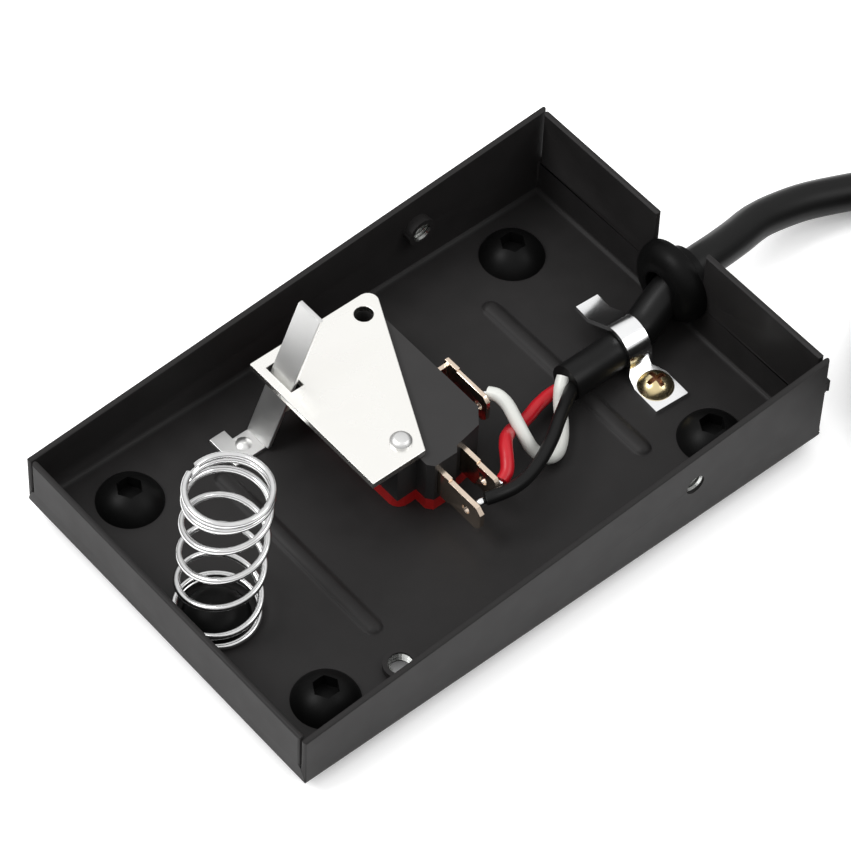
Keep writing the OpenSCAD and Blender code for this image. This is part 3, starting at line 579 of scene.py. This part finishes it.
coils = as_mesh(tube("spring_helix", [spring_point(p.x, p.y)
                                      for p in climb[first:last]],
                     wire_r, sides=5))
for polygon in coils.data.polygons:
    polygon.use_smooth = True
coils.data.materials.append(finishes["spring_wire"])
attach(coils, "base")
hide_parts("spring_coils")
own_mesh(coils)
print("spring wire:", len(coils.data.polygons), "faces")

# %% The top ring is its own moving piece
ring_from, ring_round, ring_steps = -247, 345, 69
ring_line = []
for i in range(ring_steps + 1):
    angle = math.radians(ring_from + ring_round * i / ring_steps)
    ring_line.append(spring_foot + Vector((lean + coil_r * math.cos(angle),
                                           coil_r * math.sin(angle),
                                           free_h - wire_r)))
top_ring = tube("spring_top_ring", ring_line, wire_r, body="spring_head",
                sides=5)
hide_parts("spring_top")
top_ring.data.materials.append(finishes["spring_wire"])
print("ring:", round(line_length(ring_line) / MM, 1), "mm of wire")

# %% [markdown]
# ## The three cores
# Each core is a stranded wire in soft PVC. It bends in smooth loops between
# its terminal and the cut end of the sheath, so it is drawn as a curve
# through the same points as its solid.

# %% Cores
core_routes = {
    "core_white": [
        (11.9, 0.4, 11.2), (12.6, -1, 11.4), (12.8, -3, 11), (12.4, -5.5, 10),
        (12.1, -7.9, 8.7), (12.4, -9.6, 7), (13.8, -10.9, 5.3), (16, -11, 4.5),
        (18.4, -9.4, 4.2), (20.4, -7.2, 4.4), (21.9, -4.9, 5.5), (23.2, -3.4, 7.1),
        (24.5, -2.5, 8)],
    "core_red": [
        (3.4, -12.8, 10), (4.8, -12.2, 10.5), (6, -10.8, 11.1), (7.2, -9.1, 11.4),
        (8.7, -7.5, 10.7), (10.2, -6.3, 9.2), (12, -5, 7.4), (14, -4.5, 6.5),
        (16.4, -3.9, 6.1), (19, -3, 5.8), (22, -2.3, 5.3), (24.5, -2.7, 5.8)],
    "core_black": [
        (-1.6, -14.8, 11.8), (0.2, -15.4, 11.9), (3, -15.7, 11.6),
        (6.2, -15.2, 11.1), (10, -13.8, 10.6), (14.2, -11.6, 10.2),
        (17.9, -9.1, 9.7), (21.1, -6.9, 8.6), (24.5, -4.5, 7.2)],
}
for node, points in core_routes.items():
    line = smooth_line(in_metres(points), 5)
    core = tube(node + "_wire", line, core_r, sides=5)
    core.data.materials.append(finishes[slot_of[node]])
    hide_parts(node)
    print(node, round(line_length(line) / MM, 1), "mm")

# %% Solder joins each core to its terminal
solder_r = 0.75 * MM
for colour, start, end in (("white", (10.9, 0.7, 10.4), (11.8, 0.5, 11.1)),
                           ("red", (2.5, -13.0, 9.7), (3.3, -12.8, 9.95)),
                           ("black", (-2.9, -14.2, 10.6), (-1.8, -14.7, 11.5))):
    start, end = Vector(start) * MM, Vector(end) * MM
    bm = bmesh.new()
    bmesh.ops.create_icosphere(bm, subdivisions=3, radius=solder_r)
    turn = (end - start).to_track_quat("Z", "Y").to_matrix().to_4x4()
    longer = ((end - start).length / 2 + solder_r * 0.4) / solder_r
    bmesh.ops.transform(bm, verts=bm.verts,
                        matrix=Matrix.Translation((start + end) / 2)
                        @ turn @ Matrix.Diagonal((1, 1, longer, 1)))
    piece_from(bm, "solder_" + colour, finishes["zinc_plate"])
    print("solder on the", colour, "core, drawn out", round(longer, 2), "times")

# %% [markdown]
# ## The rivet of the nickel plate
# Its head is pressed with a flat-nosed tool, so it has an upright rim, a
# shoulder and a flat top. One half-profile is spun round the rivet's axis.

# %% Rivet head
low_corner, high_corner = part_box("switch_rivet")
rivet_axis = (Vector(low_corner) + Vector(high_corner)) / 2
plate_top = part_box("switch_plate")[1][2]
half = [(0, 1.05), (0.9, 1.05), (1.12, 1.0), (1.5, 0.68), (1.7, 0.4), (1.72, 0.0)]
bm = bmesh.new()
outline = [bm.verts.new((x * MM, 0, plate_top + z * MM)) for x, z in half]
edges = [bm.edges.new(pair) for pair in zip(outline, outline[1:])]
bmesh.ops.spin(bm, geom=outline + edges, cent=(0, 0, 0), axis=(0, 0, 1),
               angle=2 * math.pi, steps=40, use_merge=True)
bmesh.ops.remove_doubles(bm, verts=bm.verts, dist=1e-6)
bmesh.ops.holes_fill(bm, edges=[e for e in bm.edges if e.is_boundary])
bmesh.ops.recalc_face_normals(bm, faces=bm.faces)
bmesh.ops.translate(bm, verts=bm.verts, vec=(rivet_axis.x, rivet_axis.y, 0))
rivet_head = piece_from(bm, "rivet_head", satin, sharp=30)
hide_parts("switch_rivet")
print("rivet head:", len(rivet_head.data.polygons), "faces")

# %% [markdown]
# ## Threads
# The two pivot holes and the small hole in the floor are tapped. A thread
# is a ridge that climbs round the wall, so one tooth's profile is spun
# round the axis while it moves along by one pitch a turn.

# %% Threads in the tapped holes
steps_a_turn = 24


def thread(name, place, axis, radius, length, pitch):
    """A helical ridge inside a round hole."""
    turn = Vector(axis).to_track_quat("Z", "Y").to_matrix().to_4x4()
    crest = radius - 0.55 * pitch
    root = radius + 0.05 * MM
    bm = bmesh.new()
    tooth = [bm.verts.new((root, 0, 0)), bm.verts.new((crest, 0, pitch / 2)),
             bm.verts.new((root, 0, pitch * 0.98))]
    edges = [bm.edges.new(pair) for pair in zip(tooth, tooth[1:] + tooth[:1])]
    turns = round(length / pitch) - 1
    bmesh.ops.spin(bm, geom=tooth + edges, cent=(0, 0, 0), axis=(0, 0, 1),
                   dvec=(0, 0, pitch / steps_a_turn), angle=2 * math.pi * turns,
                   steps=steps_a_turn * turns, use_merge=False)
    bmesh.ops.holes_fill(bm, edges=[e for e in bm.edges if e.is_boundary])
    bmesh.ops.recalc_face_normals(bm, faces=bm.faces)
    bmesh.ops.transform(bm, verts=bm.verts, matrix=Matrix.Translation(place) @ turn)
    piece_from(bm, name, tapped, smooth=False)
    return turns


for name, place, axis, radius, length, pitch in (
        ("pivot_thread_front", (23.8, -32.45, 12.3), (0, 1, 0), 1.7, 2.52, 0.63),
        ("pivot_thread_back", (23.8, 32.45, 12.3), (0, -1, 0), 1.7, 2.52, 0.63),
        ("floor_thread", (-26.5, -25.5, 2.05), (0, 0, 1), 1.9, 2.1, 0.7)):
    turns = thread(name, Vector(place) * MM, axis, radius * MM, length * MM,
                   pitch * MM)
    print(name, turns, "turns")

# %% [markdown]
# ## Finishes for what is left
# The curves and the hidden solids get the same finishes as their
# neighbours. Nothing is left plain, because the model may be opened later.

# %% Assign the remaining finishes
for piece in (lead_inner, lead_cord):
    piece.data.materials.append(finishes["pvc_black"])
for name, piece in end_cores.items():
    slot = "blade_copper" if name.endswith("_wire") else slot_of[name]
    piece.data.materials.append(finishes[slot])
for node, solid in frame["nodes"].items():
    solid.data.materials.clear()
    solid.data.materials.append(finishes[slot_of[node]])

# %% [markdown]
# ## Floor and light
# The switch stands on a plain white floor in soft light. A wide sky gives
# most of it, brighter overhead than near the horizon, and two large lamps
# add the soft highlights on the domes, the lead and the rim. The floor
# glows a little where the camera looks at it, or a shiny piece mirrors it,
# so it comes out white and still keeps a soft shadow. Close under a solid
# that glow is held back, so no light seems to come up through the holes.

# %% Floor
bm = bmesh.new()
bmesh.ops.create_grid(bm, x_segments=1, y_segments=1, size=6)
floor_mesh = bpy.data.meshes.new("floor")
bm.to_mesh(floor_mesh)
bm.free()
floor = bpy.data.objects.new("floor", floor_mesh)
bpy.context.scene.collection.objects.link(floor)
floor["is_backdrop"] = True

paper = bpy.data.materials.new("white paper")
paper.use_nodes = True
paper_nodes, paper_links = paper.node_tree.nodes, paper.node_tree.links
paper_shader = paper_nodes["Principled BSDF"]
paper_shader.inputs["Base Color"].default_value = (0.86, 0.86, 0.86, 1)
paper_shader.inputs["Roughness"].default_value = 0.9
paper_shader.inputs["Specular IOR Level"].default_value = 0
paper_shader.inputs["Emission Color"].default_value = (1, 1, 1, 1)
ray = paper_nodes.new("ShaderNodeLightPath")
open_sky = paper_nodes.new("ShaderNodeAmbientOcclusion")
open_sky.inputs["Distance"].default_value = 0.006
open_sky.samples = 4
seen_ray, lit, glow = (paper_nodes.new("ShaderNodeMath") for _ in range(3))
seen_ray.operation = "MAXIMUM"
lit.operation = glow.operation = "MULTIPLY"
glow.inputs[1].default_value = 0.58
paper_links.new(ray.outputs["Is Camera Ray"], seen_ray.inputs[0])
paper_links.new(ray.outputs["Is Glossy Ray"], seen_ray.inputs[1])
paper_links.new(seen_ray.outputs[0], lit.inputs[0])
paper_links.new(open_sky.outputs["AO"], lit.inputs[1])
paper_links.new(lit.outputs[0], glow.inputs[0])
paper_links.new(glow.outputs[0], paper_shader.inputs["Emission Strength"])
floor_mesh.materials.append(paper)
print("floor:", paper.name)

# %% Sky
world = bpy.data.worlds.new("studio")
bpy.context.scene.world = world
world.use_nodes = True
sky_nodes, sky_links = world.node_tree.nodes, world.node_tree.links
sky = sky_nodes["Background"]
sky.inputs["Strength"].default_value = 1.0
direction = sky_nodes.new("ShaderNodeTexCoord")
split = sky_nodes.new("ShaderNodeSeparateXYZ")
fade = sky_nodes.new("ShaderNodeMapRange")
fade.interpolation_type = "SMOOTHSTEP"
for socket, value in (("From Min", 0.05), ("From Max", 0.75),
                      ("To Min", 0.22), ("To Max", 1.02)):
    fade.inputs[socket].default_value = value
sky_links.new(direction.outputs["Generated"], split.inputs["Vector"])
sky_links.new(split.outputs["Z"], fade.inputs["Value"])
sky_links.new(fade.outputs["Result"], sky.inputs["Color"])
print("sky: 0.22 near the horizon, 1.02 overhead")

# %% Lamps
aim_lamps_at = Vector((0, 0, 0.01))
for name, place, size, watts in (("key", (-0.55, 0.35, 0.9), 0.5, 6),
                                 ("fill", (0.5, -0.6, 0.8), 0.6, 2)):
    data = bpy.data.lights.new(name, "AREA")
    data.shape = "DISK"
    data.size = size
    data.energy = watts
    lamp = bpy.data.objects.new(name, data)
    bpy.context.scene.collection.objects.link(lamp)
    away = Vector(place) - aim_lamps_at
    lamp.matrix_world = (Matrix.Translation(place)
                         @ away.to_track_quat("Z", "Y").to_matrix().to_4x4())
    print(name, "lamp:", watts, "W")
bpy.context.scene.view_settings.view_transform = "Standard"

# %% The box round every piece shown, and finish
low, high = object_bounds()
print("box:", [round(float(b - a) * 1000, 1) for a, b in zip(low, high)], "mm")
